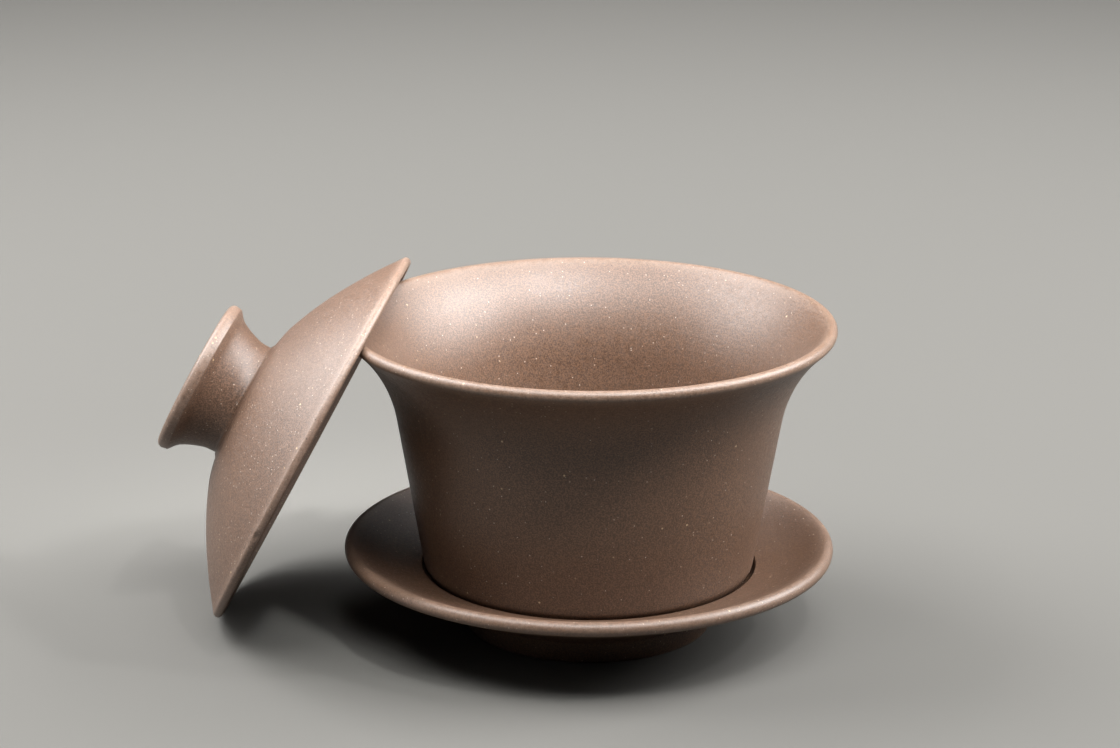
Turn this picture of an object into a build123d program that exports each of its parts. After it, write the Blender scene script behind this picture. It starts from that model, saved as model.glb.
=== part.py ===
from build123d import *
from math import cos, radians, sin, tan
import os

# A gaiwan, a lidded tea bowl on a saucer, in unglazed stoneware clay.
# Millimetres, +Z up, +X to the right, -Y towards the viewer. The origin is the middle
# of the saucer's foot, on the table. The lid leans on the bowl with its hollow side
# towards it and one edge of its rim on the table.
# Every outline is drawn on the XZ plane as (radius, height) and revolved.

# Saucer
saucer_radius = 48.25
saucer_height = 17.25
saucer_lip_radius = 1.4
saucer_foot_outer = 24.3
saucer_foot_inner = 20.2
saucer_foot_flare = 0.7
saucer_foot_height = 4.6
saucer_foot_recess = 4.2
saucer_underside_bend = (33.0, 8.7)
dish_sag = 0.5
dish_edge_height = 12.35
well_radius = 33.1
well_slant = 1.0
well_floor = 9.4
well_corner = 2.0

# Bowl
seat_gap = 0.15
bowl_height = 61.8
wall_thickness = 2.3
wall_angle = 9.8
flare_start_radius = 37.7
flare_radius = 29.0
flare_turn = 40.0
bowl_foot_outer = 24.6
bowl_foot_inner = 20.4
bowl_foot_slant = 0.4
bowl_foot_height = 0.85
bowl_foot_recess = 1.9
bowl_base_corner = 3.5
bowl_floor_thickness = 3.2
bowl_floor_corner = 9.0

# Lid, with heights from the plane that its rim lies in
lid_radius = 40.2
lid_lip_radius = 0.95
lid_lip_slope = 42.0
dome_shoulder = (33.4, 6.3)
dome_middle = (25.2, 11.2)
dome_crown = (17.15, 14.8)
hollow_middle = (24.0, 9.0)
hollow_depth = 14.0
knob_root = (11.6, 16.1)
knob_waist = (11.9, 19.0)
knob_flare = (13.7, 23.3)
knob_edge = (15.6, 25.0)
knob_radius = 15.8
knob_height = 27.4
knob_lip_radius = 1.2
knob_well_flare = (11.5, 23.6)
knob_well_radius = 9.4
knob_well_floor = 17.8

# How the lid leans
lean_angle = 62.6
lean_direction = 174.5
lean_reach = 54.15

edge_softening = 0.5


def soften(sketch, corner, radius):
    """Round the corner of a sketch that is nearest to a (radius, height) point."""
    fillet(sketch.vertices().sort_by_distance(corner)[0], radius)


with BuildPart() as saucer:
    with BuildSketch(Plane.XZ) as saucer_section:
        lip_centre = (saucer_radius - saucer_lip_radius, saucer_height - saucer_lip_radius)
        foot_top = (saucer_foot_outer + saucer_foot_flare, saucer_foot_height)
        foot_roof = (saucer_foot_inner - saucer_foot_flare, saucer_foot_recess)
        well_corner_point = (well_radius - well_slant, well_floor)
        dish_edge = (well_radius, dish_edge_height)
        with BuildLine():
            lip = CenterArc(lip_centre, saucer_lip_radius, -75, 180)
            Spline(foot_top, saucer_underside_bend, lip @ 0)
            Polyline(
                foot_top,
                (saucer_foot_outer, 0),
                (saucer_foot_inner, 0),
                foot_roof,
                (0, saucer_foot_recess),
                (0, well_floor),
                well_corner_point,
                dish_edge,
            )
            SagittaArc(dish_edge, lip @ 1, -dish_sag)
        make_face()
        soften(saucer_section, (saucer_foot_outer, 0), edge_softening)
        soften(saucer_section, (saucer_foot_inner, 0), edge_softening)
        soften(saucer_section, foot_top, 2 * edge_softening)
        soften(saucer_section, foot_roof, 2 * edge_softening)
        soften(saucer_section, well_corner_point, well_corner)
        soften(saucer_section, dish_edge, edge_softening)
        soften(saucer_section, lip @ 1, 2 * edge_softening)
    revolve(axis=Axis.Z)
    saucer.part.label = "saucer"

with BuildPart() as bowl:
    with BuildSketch(Plane.XZ) as bowl_section:
        lean = tan(radians(wall_angle))
        up_the_wall = (sin(radians(wall_angle)), cos(radians(wall_angle)))
        rim_angle = wall_angle + flare_turn
        bowl_lip_radius = wall_thickness / 2
        # Heights from the rim down: the rounded lip, then the flare's arc, then the wall.
        lip_depth = bowl_lip_radius * (1 + sin(radians(rim_angle)))
        flare_rise = flare_radius * (sin(radians(rim_angle)) - sin(radians(wall_angle)))
        flare_start_height = bowl_height - lip_depth - flare_rise
        foot_bottom = well_floor + seat_gap
        base_height = foot_bottom + bowl_foot_height
        floor_height = foot_bottom + bowl_foot_recess + bowl_floor_thickness
        base_radius = flare_start_radius - (flare_start_height - base_height) * lean
        inside_radius = flare_start_radius - (flare_start_height - floor_height) * lean
        inside_radius -= wall_thickness / cos(radians(wall_angle))
        with BuildLine():
            wall = Line((base_radius, base_height), (flare_start_radius, flare_start_height))
            flare = JernArc(wall @ 1, up_the_wall, flare_radius, -flare_turn)
            lip = JernArc(flare @ 1, flare % 1, bowl_lip_radius, 180)
            inner_flare = JernArc(lip @ 1, lip % 1, flare_radius + wall_thickness, flare_turn)
            Polyline(
                inner_flare @ 1,
                (inside_radius, floor_height),
                (0, floor_height),
                (0, foot_bottom + bowl_foot_recess),
                (bowl_foot_inner - bowl_foot_slant, foot_bottom + bowl_foot_recess),
                (bowl_foot_inner, foot_bottom),
                (bowl_foot_outer, foot_bottom),
                (bowl_foot_outer + bowl_foot_slant, base_height),
                wall @ 0,
            )
        make_face()
        soften(bowl_section, wall @ 0, bowl_base_corner)
        soften(bowl_section, (inside_radius, floor_height), bowl_floor_corner)
    revolve(axis=Axis.Z)
    bowl.part.label = "bowl"

axis_rise = radians(90 - lean_angle)
heading = radians(lean_direction)
lip_ring = lid_radius - lid_lip_radius
rim_height = lip_ring * cos(axis_rise) + lid_lip_radius * (1 - sin(axis_rise))
rim_centre = Vector(lean_reach * cos(heading), lean_reach * sin(heading), rim_height)
knob_way = Vector(cos(axis_rise) * cos(heading), cos(axis_rise) * sin(heading), sin(axis_rise))
up_the_rim = Vector(-sin(axis_rise) * cos(heading), -sin(axis_rise) * sin(heading), cos(axis_rise))
leaning_plane = Plane(origin=rim_centre, x_dir=up_the_rim, z_dir=up_the_rim.cross(knob_way))

with BuildPart() as lid:
    with BuildSketch(leaning_plane) as lid_section:
        lip_start = 270 - lid_lip_slope
        knob_lip_centre = (knob_radius - knob_lip_radius, knob_height - knob_lip_radius)
        with BuildLine():
            lip = CenterArc((lip_ring, lid_lip_radius), lid_lip_radius, lip_start, 180)
            dome = Spline(lip @ 1, dome_shoulder, dome_middle, dome_crown, knob_root)
            knob_lip = CenterArc(knob_lip_centre, knob_lip_radius, 0, 190)
            Spline(knob_root, knob_waist, knob_flare, knob_edge)
            Line(knob_edge, knob_lip @ 0)
            Spline(knob_lip @ 1, knob_well_flare, (knob_well_radius, knob_well_floor + 2))
            Polyline(
                (knob_well_radius, knob_well_floor + 2),
                (knob_well_radius, knob_well_floor),
                (0, knob_well_floor),
                (0, hollow_depth),
            )
            ThreePointArc((0, hollow_depth), hollow_middle, lip @ 0)
        make_face()
        soften(lid_section, knob_root, edge_softening)
        soften(lid_section, knob_edge, edge_softening / 2)
        soften(lid_section, (knob_well_radius, knob_well_floor), 3 * edge_softening)
    revolve(axis=Axis(rim_centre, knob_way))
    lid.part.label = "lid"

os.makedirs("parts", exist_ok=True)
for piece in (saucer, bowl, lid):
    export_step(piece.part, f"parts/{piece.part.label}.step")
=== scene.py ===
from math import atan2, ceil, cos, exp, hypot, pi, radians, sin, tan

import bmesh
import bpy
from mathutils import Matrix, Vector, noise


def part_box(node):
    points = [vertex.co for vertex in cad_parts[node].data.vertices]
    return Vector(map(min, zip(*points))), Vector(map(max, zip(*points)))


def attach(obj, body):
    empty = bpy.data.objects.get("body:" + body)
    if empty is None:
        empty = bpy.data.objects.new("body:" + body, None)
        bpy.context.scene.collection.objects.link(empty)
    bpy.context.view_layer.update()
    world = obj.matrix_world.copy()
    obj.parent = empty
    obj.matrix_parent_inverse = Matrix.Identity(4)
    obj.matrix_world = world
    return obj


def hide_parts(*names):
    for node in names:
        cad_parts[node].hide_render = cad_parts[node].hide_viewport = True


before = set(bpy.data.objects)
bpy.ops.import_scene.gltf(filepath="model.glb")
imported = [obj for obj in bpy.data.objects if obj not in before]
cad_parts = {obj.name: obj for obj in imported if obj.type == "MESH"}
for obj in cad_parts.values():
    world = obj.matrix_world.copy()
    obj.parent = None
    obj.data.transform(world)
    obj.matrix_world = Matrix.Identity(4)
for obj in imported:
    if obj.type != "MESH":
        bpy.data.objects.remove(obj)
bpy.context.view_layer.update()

# A gaiwan in unglazed purple-brown stoneware: saucer, bowl and a lid that leans on the bowl.
# Lengths are named in millimetres, as in the CAD, and the meshes are made in metres.
# Each piece is thrown like the real one: an outline of (radius, height) points is turned
# about an axis, then the small unevenness of hand work is pressed into it.

MM = 0.001
scene = bpy.context.scene

# ---- Driving dimensions ----

# Saucer
saucer_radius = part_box("saucer")[1].x / MM
saucer_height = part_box("saucer")[1].z / MM
saucer_lip_radius = 1.4
saucer_foot_outer = 24.3
saucer_foot_inner = 20.2
saucer_foot_flare = 0.7
saucer_foot_height = 4.6
saucer_foot_recess = 4.2
saucer_underside_bend = (33.0, 8.7)
dish_edge_height = 12.35
dish_middle = (39.9, 14.3)
well_radius = 33.1
well_slant = 1.0
well_floor = 9.4
well_corner = 2.0

# Bowl
bowl_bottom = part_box("bowl")[0].z / MM
bowl_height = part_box("bowl")[1].z / MM
wall_thickness = 2.3
wall_angle = radians(9.8)
flare_start_radius = 37.7
flare_radius = 29.0
flare_turn = radians(40.0)
bowl_foot_outer = 24.6
bowl_foot_inner = 20.4
bowl_foot_slant = 0.4
bowl_foot_height = 0.85
bowl_foot_recess = 1.9
bowl_base_corner = 3.5
bowl_floor_thickness = 3.2
bowl_floor_corner = 9.0

# Lid, with heights from the plane that its rim lies in
lid_radius = 40.2
lid_lip_radius = 0.95
lid_lip_slope = 42
dome_shoulder = (33.4, 6.3)
dome_middle = (25.2, 11.2)
dome_crown = (17.15, 14.8)
hollow_middle = (24.0, 9.0)
hollow_crown = (12.4, 12.7)
hollow_depth = 14.0
knob_waist = (11.9, 19.0)
knob_flare = (13.7, 23.3)
knob_edge = (15.6, 25.0)
knob_radius = 15.8
knob_height = 27.4
knob_lip_radius = 1.2
knob_well_flare = (11.5, 23.6)
knob_well_radius = 9.4
knob_well_floor = 17.8
knob_well_foot_height = 2
knob_bead = ((11.7, 16.25), (12.15, 16.3), (12.6, 15.95))

# How the lid leans
lean_angle = radians(62.6)
lean_direction = radians(174.5)
lean_reach = 54.15

# Hand work
edge_softening = 0.5
ring_segments = 360
point_spacing = 0.7
unevenness = 0.12
saucer_nick_heading = radians(44)


# ---- Outlines, as lists of (radius, height) vectors ----

def rounded(corners):
    """A line through (radius, height, rounding) corners, with each corner rounded by an arc."""
    points = [Vector(corners[0][:2])]
    for before, corner, after in zip(corners, corners[1:], corners[2:]):
        here = Vector(corner[:2])
        way_in = (here - Vector(before[:2])).normalized()
        way_out = (Vector(after[:2]) - here).normalized()
        turn = atan2(way_in.cross(way_out), way_in.dot(way_out))
        side = 1 if turn > 0 else -1
        start = here - way_in * corner[2] * tan(abs(turn) / 2)
        centre = start + Vector((-way_in.y, way_in.x)) * corner[2] * side
        steps = max(4, ceil(abs(turn) * corner[2] / point_spacing))
        for step in range(steps + 1):
            points.append(centre + Matrix.Rotation(turn * step / steps, 2) @ (start - centre))
    points.append(Vector(corners[-1][:2]))
    return points


def curve_through(knots):
    """A smooth line through (radius, height) points."""
    knots = [Vector(knot) for knot in knots]
    ends = [2 * knots[0] - knots[1]] + knots + [2 * knots[-1] - knots[-2]]
    points = [knots[0]]
    for before, start, end, after in zip(ends, ends[1:], ends[2:], ends[3:]):
        length = (end - start).length
        leave = (end - before).normalized() * length
        arrive = (after - start).normalized() * length
        steps = ceil(length / point_spacing)
        for step in range(1, steps + 1):
            t = step / steps
            points.append(
                start * (2 * t**3 - 3 * t**2 + 1)
                + leave * (t**3 - 2 * t**2 + t)
                + end * (3 * t**2 - 2 * t**3)
                + arrive * (t**3 - t**2)
            )
    return points


def close_set(points):
    """The same line without doubled points, and with none further apart than the spacing."""
    line = [points[0]]
    for point in points[1:]:
        gap = (point - line[-1]).length
        if gap < 0.02:
            continue
        last = line[-1]
        steps = ceil(gap / point_spacing)
        line += [last.lerp(point, step / steps) for step in range(1, steps + 1)]
    return line


def arc(middle, radius, start, end):
    """Points on an arc, from one angle to another in degrees."""
    steps = ceil(abs(end - start) / 10)
    angles = [radians(start + (end - start) * step / steps) for step in range(steps + 1)]
    return [Vector(middle) + Vector((cos(angle), sin(angle))) * radius for angle in angles]


def saucer_outline():
    foot_top = (saucer_foot_outer + saucer_foot_flare, saucer_foot_height)
    foot_roof = (saucer_foot_inner - saucer_foot_flare, saucer_foot_recess)
    lip_middle = Vector((saucer_radius, saucer_height)) - Vector((1, 1)) * saucer_lip_radius
    lip = arc(lip_middle, saucer_lip_radius, -75, 105)
    foot = rounded([
        (0, saucer_foot_recess, 0),
        (*foot_roof, 2 * edge_softening),
        (saucer_foot_inner, 0, edge_softening),
        (saucer_foot_outer, 0, edge_softening),
        (*foot_top, 2 * edge_softening),
        (*saucer_underside_bend, 0),
    ])
    underside = curve_through([foot[-2], saucer_underside_bend, lip[0]])
    dish = curve_through([lip[-1], dish_middle, (well_radius + 0.4, dish_edge_height + 0.08)])
    well = rounded([
        (*dish[-1], 0),
        (well_radius, dish_edge_height, edge_softening / 2),
        (well_radius - well_slant, well_floor, well_corner),
        (0, well_floor, 0),
    ])
    return close_set(foot[:-1] + underside + lip + dish + well)


def bowl_outline():
    up_the_wall = Vector((sin(wall_angle), cos(wall_angle)))
    up_the_rim = Vector((sin(wall_angle + flare_turn), cos(wall_angle + flare_turn)))
    inward = Vector((-up_the_rim.y, up_the_rim.x))
    lip_radius = wall_thickness / 2
    lip_depth = lip_radius * (1 + up_the_rim.x)
    flare_rise = flare_radius * (up_the_rim.x - up_the_wall.x)
    flare_start = Vector((flare_start_radius, bowl_height - lip_depth - flare_rise))
    base_height = bowl_bottom + bowl_foot_height
    roof_height = bowl_bottom + bowl_foot_recess
    floor_height = roof_height + bowl_floor_thickness
    base_radius = flare_start.x - (flare_start.y - base_height) * tan(wall_angle)
    inside_radius = flare_start.x - (flare_start.y - floor_height) * tan(wall_angle)
    inside_radius -= wall_thickness / cos(wall_angle)
    outer_bend = flare_start + up_the_wall * flare_radius * tan(flare_turn / 2)
    lip_corner = outer_bend + up_the_rim * (flare_radius * tan(flare_turn / 2) + lip_radius)
    inner_radius = flare_radius + wall_thickness
    inner_bend = lip_corner + inward * wall_thickness
    inner_bend -= up_the_rim * (inner_radius * tan(flare_turn / 2) + lip_radius)
    return close_set(rounded([
        (0, roof_height, 0),
        (bowl_foot_inner - bowl_foot_slant, roof_height, edge_softening),
        (bowl_foot_inner, bowl_bottom, edge_softening),
        (bowl_foot_outer, bowl_bottom, edge_softening),
        (bowl_foot_outer + bowl_foot_slant, base_height, edge_softening / 2),
        (base_radius, base_height, bowl_base_corner),
        (*outer_bend, flare_radius),
        (*lip_corner, lip_radius * 0.999),
        (*(lip_corner + inward * wall_thickness), lip_radius * 0.999),
        (*inner_bend, inner_radius),
        (inside_radius, floor_height, bowl_floor_corner),
        (0, floor_height, 0),
    ]))


def lid_outline():
    lip_middle = Vector((lid_radius - lid_lip_radius, lid_lip_radius))
    lip = arc(lip_middle, lid_lip_radius, 90 - lid_lip_slope, -90 - lid_lip_slope)
    knob_lip_middle = Vector((knob_radius, knob_height)) - Vector((1, 1)) * knob_lip_radius
    knob_lip = arc(knob_lip_middle, knob_lip_radius, 190, 0)
    well = rounded([
        (0, knob_well_floor, 0),
        (knob_well_radius, knob_well_floor, 3 * edge_softening),
        (knob_well_radius, knob_well_floor + knob_well_foot_height, 0),
    ])
    well_wall = curve_through([well[-1], knob_well_flare, knob_lip[0]])
    waist = curve_through([knob_edge, knob_flare, knob_waist, knob_bead[0]])
    bead = curve_through(knob_bead)
    edge = rounded([(*knob_lip[-1], 0), (*knob_edge, edge_softening / 2), (*waist[1], 0)])
    dome = curve_through([knob_bead[-1], dome_crown, dome_middle, dome_shoulder, lip[0]])
    hollow = curve_through([lip[-1], hollow_middle, hollow_crown, (0, hollow_depth)])
    knob = well + well_wall + knob_lip[:-1] + edge + waist[2:] + bead
    return close_set(knob + dome + lip + hollow)


# ---- Turning an outline into a piece ----

def hand_sag(angle, height, seed):
    """How far the clay was pressed towards the axis, from 0 to the unevenness, in mm."""
    slow = noise.noise(Vector((1.1 * cos(angle) + seed, 1.1 * sin(angle), height / 40)))
    turning = noise.noise(Vector((0.3 * cos(angle), seed + 0.3 * sin(angle), height / 2.2)))
    return unevenness * min(max(0.5 + 0.55 * slow + 0.12 * turning, 0), 1)


def thrown(name, outline, lips, seed, nicks=()):
    """Turns an outline about Z into a mesh. The lips are (radius, height, reach) rings painted paler,
    partly for wear and partly as a painted highlight.
    """
    shape = bmesh.new()
    paler = shape.verts.layers.float.new("lip")
    along = shape.verts.layers.float.new("along")
    rings = []
    travelled = 0
    for point, last in zip(outline, [outline[0]] + outline):
        travelled += (point - last).length
        # How strongly each point is painted paler at a lip: partly wear, partly a painted highlight.
        on_lip = max((exp(-(hypot(point.x - r, point.y - h) / reach) ** 2) for r, h, reach in lips))
        turns = ring_segments if point.x > 0.01 else 1
        ring = []
        for step in range(turns):
            angle = 2 * pi * step / turns
            radius = max(point.x - hand_sag(angle, point.y, seed) * min(point.x / 8, 1), 0)
            vert = shape.verts.new((radius * cos(angle), radius * sin(angle), point.y))
            vert[paler] = on_lip
            vert[along] = travelled
            ring.append(vert)
        rings.append(ring)
    for inner, outer in zip(rings, rings[1:]):
        for step in range(ring_segments):
            after = (step + 1) % ring_segments
            corners = [inner[step % len(inner)], inner[after % len(inner)]]
            corners += [outer[after % len(outer)], outer[step % len(outer)]]
            shape.faces.new(dict.fromkeys(corners))
    for place, size, depth in nicks:
        press_nick(shape, Vector(place), size, depth)
    bmesh.ops.scale(shape, vec=(MM, MM, MM), verts=shape.verts)
    bmesh.ops.recalc_face_normals(shape, faces=shape.faces)
    mesh = bpy.data.meshes.new(name)
    shape.to_mesh(mesh)
    shape.free()
    mesh.shade_smooth()
    piece = bpy.data.objects.new(name, mesh)
    scene.collection.objects.link(piece)
    return piece


def press_nick(shape, place, size, depth):
    """A small broken spot in an edge."""
    inward = Vector((-place.x, -place.y, 0)).normalized()
    for vert in shape.verts:
        reach = (vert.co - place).length / size
        if reach < 1:
            rough = 0.75 + 0.5 * noise.noise(vert.co * 2.5)
            vert.co += inward * depth * rough * (1 - reach**2) ** 2


# ---- Clay ----

def ramp(nodes, links, value, low, high, out_low=0.0, out_high=1.0):
    """Maps a value from one range to another."""
    node = nodes.new("ShaderNodeMapRange")
    node.inputs["From Min"].default_value = low
    node.inputs["From Max"].default_value = high
    node.inputs["To Min"].default_value = out_low
    node.inputs["To Max"].default_value = out_high
    links.new(value, node.inputs["Value"])
    return node.outputs["Result"]


def product(nodes, links, first, second):
    """Two values multiplied."""
    node = nodes.new("ShaderNodeMath")
    node.operation = "MULTIPLY"
    links.new(first, node.inputs[0])
    links.new(second, node.inputs[1])
    return node.outputs[0]


def shade(colour, factor, lift=0.0):
    """A colour made darker or lighter."""
    return tuple(factor * part + lift for part in colour)


def mixed(nodes, links, amount, under, over):
    """Two colours mixed. Each is a socket or an RGB tuple."""
    node = nodes.new("ShaderNodeMix")
    node.data_type = "RGBA"
    for source, socket in ((amount, node.inputs[0]), (under, node.inputs[6]), (over, node.inputs[7])):
        if isinstance(source, tuple):
            socket.default_value = (*source, 1)
        else:
            links.new(source, socket)
    return node.outputs[2]


def grain(nodes, links, where, size, detail=3.0, roughness=0.55):
    """Noise whose lumps are about the given size in mm."""
    node = nodes.new("ShaderNodeTexNoise")
    node.inputs["Scale"].default_value = 1 / (size * MM)
    node.inputs["Detail"].default_value = detail
    node.inputs["Roughness"].default_value = roughness
    links.new(where, node.inputs["Vector"])
    return node.outputs["Fac"]


def specks(nodes, links, where, spacing, size, share):
    """Grains scattered in the clay, as a mask: one in a cell, kept in a share of the cells."""
    node = nodes.new("ShaderNodeTexVoronoi")
    node.inputs["Scale"].default_value = 1 / (spacing * MM)
    links.new(where, node.inputs["Vector"])
    edge = size / spacing / 2
    dot = ramp(nodes, links, node.outputs["Distance"], edge * 1.3, edge * 0.6)
    split = nodes.new("ShaderNodeSeparateColor")
    links.new(node.outputs["Color"], split.inputs["Color"])
    kept = ramp(nodes, links, split.outputs["Red"], 1 - share, 1 - share * 0.6)
    return product(nodes, links, dot, kept)


def clay_colour(nodes, links, where, fine, pale, body, lip_wear_and_highlight, grit):
    """Mottled body with fine grain, lips painted paler for wear and as a painted highlight, and dark,
    pale and golden specks.
    """
    cloud = ramp(nodes, links, grain(nodes, links, where, 18), 0.3, 0.7)
    dust = ramp(nodes, links, grain(nodes, links, where, 0.30, 2.0, 0.7), 0.42, 0.60)
    # Lips painted paler: partly wear, partly a painted highlight.
    lip = nodes.new("ShaderNodeAttribute")
    lip.attribute_name = "lip"
    wear_and_highlight = product(nodes, links, lip.outputs["Fac"], ramp(nodes, links, fine, 0, 1, 0.15, 0.45))
    gold = specks(nodes, links, where, 2.3, 0.40, grit)
    dark = specks(nodes, links, where, 1.4, 0.30, 0.30)
    colour = mixed(nodes, links, cloud, shade(body, 0.80), shade(body, 1.18))
    colour = mixed(nodes, links, fine, colour, shade(body, 0.85, 0.01))
    colour = mixed(nodes, links, dust, colour, shade(body, 2.0, 0.01))
    colour = mixed(nodes, links, wear_and_highlight, colour, lip_wear_and_highlight)
    colour = mixed(nodes, links, dark, colour, shade(body, 0.6))
    colour = mixed(nodes, links, pale, colour, (0.36, 0.28, 0.22))
    return mixed(nodes, links, gold, colour, (0.42, 0.30, 0.18))


def clay_relief(nodes, links, where, pale):
    """Turning marks, orange peel, fine grain and raised specks, one over the other."""
    along = nodes.new("ShaderNodeAttribute")
    along.attribute_name = "along"
    marks = nodes.new("ShaderNodeTexNoise")
    marks.noise_dimensions = "1D"
    marks.inputs["Scale"].default_value = 1.6
    marks.inputs["Detail"].default_value = 4.0
    links.new(along.outputs["Fac"], marks.inputs["W"])
    relief = None
    for height, strength, distance in (
        (marks.outputs["Fac"], 0.15, 0.05),
        (grain(nodes, links, where, 1.3, 3.0), 0.4, 0.06),
        (grain(nodes, links, where, 0.32, 3.0, 0.6), 0.6, 0.05),
        (pale, 0.5, 0.05),
    ):
        bump = nodes.new("ShaderNodeBump")
        bump.inputs["Strength"].default_value = strength
        bump.inputs["Distance"].default_value = distance * MM
        links.new(height, bump.inputs["Height"])
        if relief:
            links.new(relief, bump.inputs["Normal"])
        relief = bump.outputs["Normal"]
    return relief


def clay(name, body, lip_wear_and_highlight, grit, seed):
    """Unglazed stoneware: a body colour, lips painted pale for wear and as a painted highlight, a share
    of specks and a burnished skin.
    """
    material = bpy.data.materials.new(name)
    material.use_nodes = True
    nodes = material.node_tree.nodes
    links = material.node_tree.links
    shader = nodes["Principled BSDF"]
    place = nodes.new("ShaderNodeTexCoord")
    shift = nodes.new("ShaderNodeVectorMath")
    shift.operation = "ADD"
    shift.inputs[1].default_value = (seed * 0.1, seed * 0.07, seed * 0.05)
    links.new(place.outputs["Object"], shift.inputs[0])
    where = shift.outputs["Vector"]
    fine = ramp(nodes, links, grain(nodes, links, where, 0.9, 5.0, 0.7), 0.35, 0.65)
    pale = specks(nodes, links, where, 0.75, 0.24, grit)
    colour = clay_colour(nodes, links, where, fine, pale, body, lip_wear_and_highlight, grit)
    links.new(colour, shader.inputs["Base Color"])
    links.new(ramp(nodes, links, fine, 0, 1, 0.40, 0.54), shader.inputs["Roughness"])
    links.new(clay_relief(nodes, links, where, pale), shader.inputs["Normal"])
    shader.inputs["Specular IOR Level"].default_value = 0.62
    shader.inputs["IOR"].default_value = 1.5
    return material


# ---- The three pieces ----

def on_ring(radius, angle, height):
    """A place on a ring about Z."""
    return (radius * cos(angle), radius * sin(angle), height)


# Rings where the lips are painted paler, partly for wear and partly as a painted highlight.
saucer_lips = [(saucer_radius - 1.2, saucer_height - 1.0, 1.7)]
bowl_lips = [(47.0, bowl_height - 1.0, 1.6)]
lid_lips = [(lid_radius, 0.9, 1.5), (knob_radius, knob_height - 1.0, 1.5)]
saucer_nick = (on_ring(saucer_radius, saucer_nick_heading, saucer_height - 1.0), 1.3, 0.5)
lid_nick = ((-0.2 * lid_radius, -0.98 * lid_radius, 1.0), 1.0, 0.55)

saucer = thrown("saucer_clay", saucer_outline(), saucer_lips, 3.1, nicks=[saucer_nick])
bowl = thrown("bowl_clay", bowl_outline(), bowl_lips, 7.7)
lid = thrown("lid_clay", lid_outline(), lid_lips, 12.4, nicks=[lid_nick])

# The lid is drawn upright, then leaned as in the CAD.
axis_rise = pi / 2 - lean_angle
lip_ring = lid_radius - lid_lip_radius
rim_height = lip_ring * cos(axis_rise) + lid_lip_radius * (1 - sin(axis_rise))
knob_way = Vector(on_ring(cos(axis_rise), lean_direction, sin(axis_rise)))
up_the_rim = Vector(on_ring(-sin(axis_rise), lean_direction, cos(axis_rise)))
lean = Matrix((up_the_rim, knob_way.cross(up_the_rim), knob_way)).transposed().to_4x4()
lean.translation = Vector(on_ring(lean_reach, lean_direction, rim_height)) * MM
lid.data.transform(lean)

# Each clay: body colour, pale lip colour (partly wear, partly a painted highlight), speck share, seed.
clays = {
    "saucer": clay("clay_saucer", (0.053, 0.0255, 0.0125), (0.30, 0.21, 0.16), 0.22, 1),
    "bowl": clay("clay_bowl", (0.057, 0.0275, 0.0135), (0.32, 0.23, 0.175), 0.12, 2),
    "lid": clay("clay_lid", (0.067, 0.035, 0.020), (0.32, 0.23, 0.18), 0.40, 3),
}

for piece, node in ((saucer, "saucer"), (bowl, "bowl"), (lid, "lid")):
    piece.data.materials.append(clays[node])
    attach(piece, node)
    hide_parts(node)


# ---- Studio ----

softbox_aim = (0, 0, 0.03)
mouth_middle = (-0.005, 0.01, 0.062)


def floor_sheet():
    """A wide, matt, warm grey floor."""
    sheet = bmesh.new()
    bmesh.ops.create_grid(sheet, x_segments=8, y_segments=8, size=6)
    mesh = bpy.data.meshes.new("floor")
    sheet.to_mesh(mesh)
    sheet.free()
    floor = bpy.data.objects.new("floor", mesh)
    scene.collection.objects.link(floor)
    material = bpy.data.materials.new("floor_pale")
    material.use_nodes = True
    shader = material.node_tree.nodes["Principled BSDF"]
    shader.inputs["Base Color"].default_value = (0.089, 0.086, 0.079, 1)
    shader.inputs["Roughness"].default_value = 0.9
    mesh.materials.append(material)
    return floor


def aimed(name, lamp, place, aim):
    """Puts a lamp in its place, turned towards its aim."""
    light = bpy.data.objects.new(name, lamp)
    light.location = place
    light.rotation_euler = (Vector(aim) - Vector(place)).to_track_quat("-Z", "Y").to_euler()
    scene.collection.objects.link(light)


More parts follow.
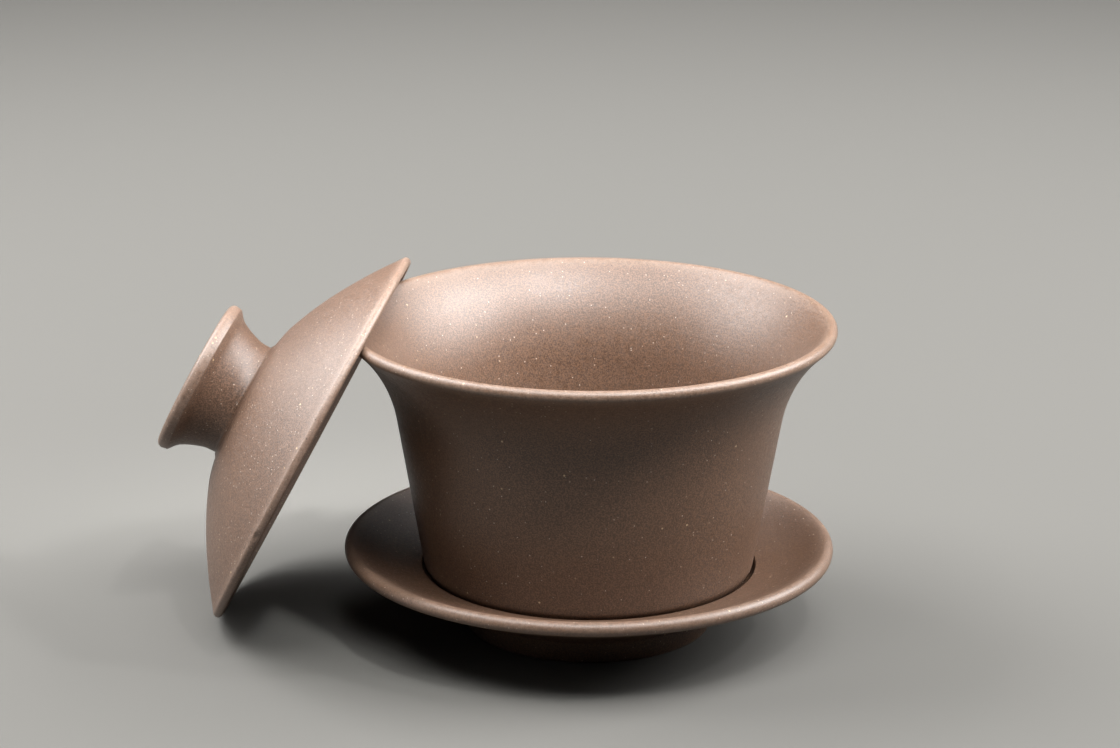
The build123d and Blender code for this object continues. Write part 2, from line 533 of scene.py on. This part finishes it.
def softbox(name, place, width, depth, power, aim=softbox_aim):
    """A soft rectangular light, in metres and watts."""
    lamp = bpy.data.lights.new(name, "AREA")
    lamp.shape = "RECTANGLE"
    lamp.size = width
    lamp.size_y = depth
    lamp.energy = power
    aimed(name, lamp, place, aim)


def mouth_light(name, place, power):
    """A soft spot that reaches only the inside of the bowl, through its mouth."""
    lamp = bpy.data.lights.new(name, "SPOT")
    lamp.energy = power
    lamp.spot_size = radians(8.5)
    lamp.spot_blend = 0.8
    lamp.shadow_soft_size = 0.06
    aimed(name, lamp, place, mouth_middle)


floor_sheet()
softbox("overhead", (0, 0.1, 0.6), 0.9, 0.5, 4.0)
softbox("front_high", (0, -0.25, 0.55), 0.6, 0.2, 5.0)
softbox("right", (0.6, 0.1, 0.5), 0.5, 0.5, 12.5)
softbox("left_high", (-0.45, 0.15, 0.5), 0.5, 0.5, 9.0)
softbox("left_low", (-0.8, 0.05, 0.22), 0.4, 0.4, 1.2)
softbox("backdrop", (0, 0.45, 0.5), 0.9, 0.3, 7.0, aim=(0, 0.9, 0))
mouth_light("mouth_right", (0.4, -0.1, 0.45), 32)
mouth_light("mouth_front", (0.15, -0.22, 0.58), 44)

world = bpy.data.worlds.new("studio")
world.use_nodes = True
world.node_tree.nodes["Background"].inputs["Color"].default_value = (0.80, 0.82, 0.83, 1)
world.node_tree.nodes["Background"].inputs["Strength"].default_value = 0.02
scene.world = world
scene.view_settings.view_transform = "Standard"

# ---- Camera ----

camera_place = Vector((0, -608.6, 236.3)) * MM
camera_aim = Vector((-5.78, 0, 50.74)) * MM
camera_roll = 0.004

lens = bpy.data.cameras.new("camera")
lens.lens = 105
lens.sensor_width = 36
lens.clip_start = 0.01
camera = bpy.data.objects.new("camera", lens)
view_way = (camera_aim - camera_place).normalized()
level = view_way.cross(Vector((0, 0, 1))).normalized()
upright = level.cross(view_way)
right_way = level * cos(camera_roll) + upright * sin(camera_roll)
up_way = upright * cos(camera_roll) - level * sin(camera_roll)
stand = Matrix((right_way, up_way, -view_way)).transposed().to_4x4()
stand.translation = camera_place
camera.matrix_world = stand
scene.collection.objects.link(camera)
scene.camera = camera
